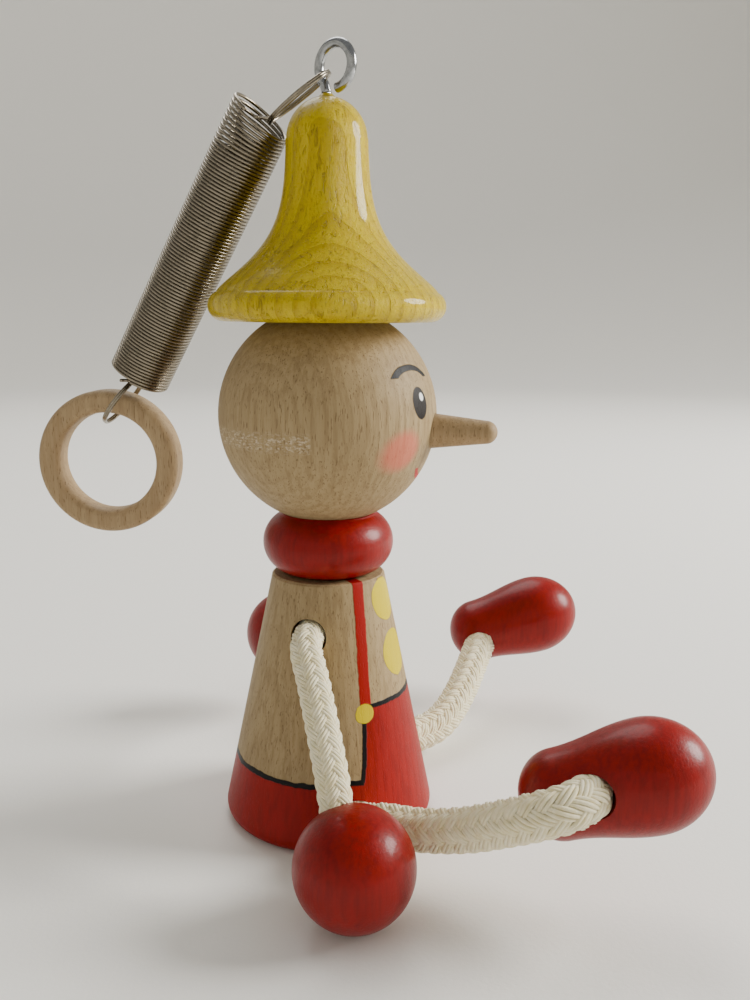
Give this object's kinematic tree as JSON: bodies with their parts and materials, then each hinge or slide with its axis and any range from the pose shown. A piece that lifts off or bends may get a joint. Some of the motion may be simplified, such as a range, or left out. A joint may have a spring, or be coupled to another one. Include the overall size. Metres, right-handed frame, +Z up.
{
  "type": "marionette puppet",
  "caption": "Turned wooden puppet with a bell hat, cord arms and legs, ball hands and pear-shaped feet, hung by its hat from a close-wound spring with a wooden finger ring.",
  "frame": {"origin": "centre of the body's flat underside, which the puppet sits on", "axes": "+Z up through the body, head and hat; the puppet faces -Y and its right side is -X"},
  "size_m": [0.1469, 0.1639, 0.1774],
  "materials": {
    "painted_beech": "matt varnish, with red, black and yellow brush paint",
    "head_beech": "matt varnish, with a small painted face",
    "beech": "matt varnish",
    "ring_wood": "bare, sanded",
    "red_paint": "satin stain and varnish on wood",
    "yellow_paint": "gloss varnish on wood, grain showing",
    "zinc": "bright zinc plate",
    "spring_steel": "drawn wire",
    "cotton_cord": "braided cotton"
  },
  "bodies": {
    "figure": {"body": "painted_beech", "neck_ring": "red_paint", "neck_dowel": "beech", "head": "head_beech", "nose_peg": "beech", "hat_dowel": "beech", "hat": "yellow_paint", "screw_eye": "zinc"},
    "right_arm": {"right_arm_cord": "cotton_cord", "right_hand": "red_paint"},
    "left_arm": {"left_arm_cord": "cotton_cord", "left_hand": "red_paint"},
    "right_leg": {"right_leg_cord": "cotton_cord", "right_foot": "red_paint"},
    "left_leg": {"left_leg_cord": "cotton_cord", "left_foot": "red_paint"},
    "spring": {"spring_upper_hook": "spring_steel", "spring_coil": "spring_steel"},
    "spring_end": {"spring_lower_hook": "spring_steel"},
    "finger_ring": {"hanging_ring": "ring_wood"}
  },
  "joints": [
    {"name": "right_arm_lift", "type": "hinge", "parent": "figure", "child": "right_arm", "pos_m": [-0.014, 0.0008, 0.0482], "axis": [0, 1, 0], "range_deg": [0, 100], "stiffness_Nm_per_rad": 0.006, "deforming": ["right_arm_cord"]},
    {"name": "left_arm_lift", "type": "hinge", "parent": "figure", "child": "left_arm", "pos_m": [0.014, 0.0008, 0.0482], "axis": [0, -1, 0], "range_deg": [-12, 90], "stiffness_Nm_per_rad": 0.02, "springref_deg": 6.3, "deforming": ["left_arm_cord"]},
    {"name": "right_leg_lift", "type": "hinge", "parent": "figure", "child": "right_leg", "pos_m": [-0.0205, -0.0115, 0.0076], "axis": [-1, 0, 0], "range_deg": [-12, 50], "stiffness_Nm_per_rad": 0.05, "springref_deg": 5.73, "deforming": ["right_leg_cord"]},
    {"name": "left_leg_lift", "type": "hinge", "parent": "figure", "child": "left_leg", "pos_m": [0.0205, -0.0118, 0.0072], "axis": [-0.46, -0.8879, 0], "range_deg": [-8, 60], "stiffness_Nm_per_rad": 0.05, "springref_deg": 5.73, "deforming": ["left_leg_cord"]},
    {"name": "spring_swing", "type": "hinge", "parent": "figure", "child": "spring", "pos_m": [-0.00105, -0.00216, 0.1718], "axis": [0.9848, -0.1736, 0], "range_deg": [0, 150]},
    {"name": "spring_stretch", "type": "slide", "parent": "spring", "child": "spring_end", "axis": [0.0894, 0.5072, -0.8572], "range_m": [0, 0.11], "stiffness_N_per_m": 18, "springref_m": -0.01, "deforming": ["spring_coil"]},
    {"name": "ring_swing", "type": "hinge", "parent": "spring_end", "child": "finger_ring", "pos_m": [0.00984, 0.05961, 0.09282], "axis": [0.9925, 0.1219, 0], "range_deg": [-28, 90]}
  ]
}
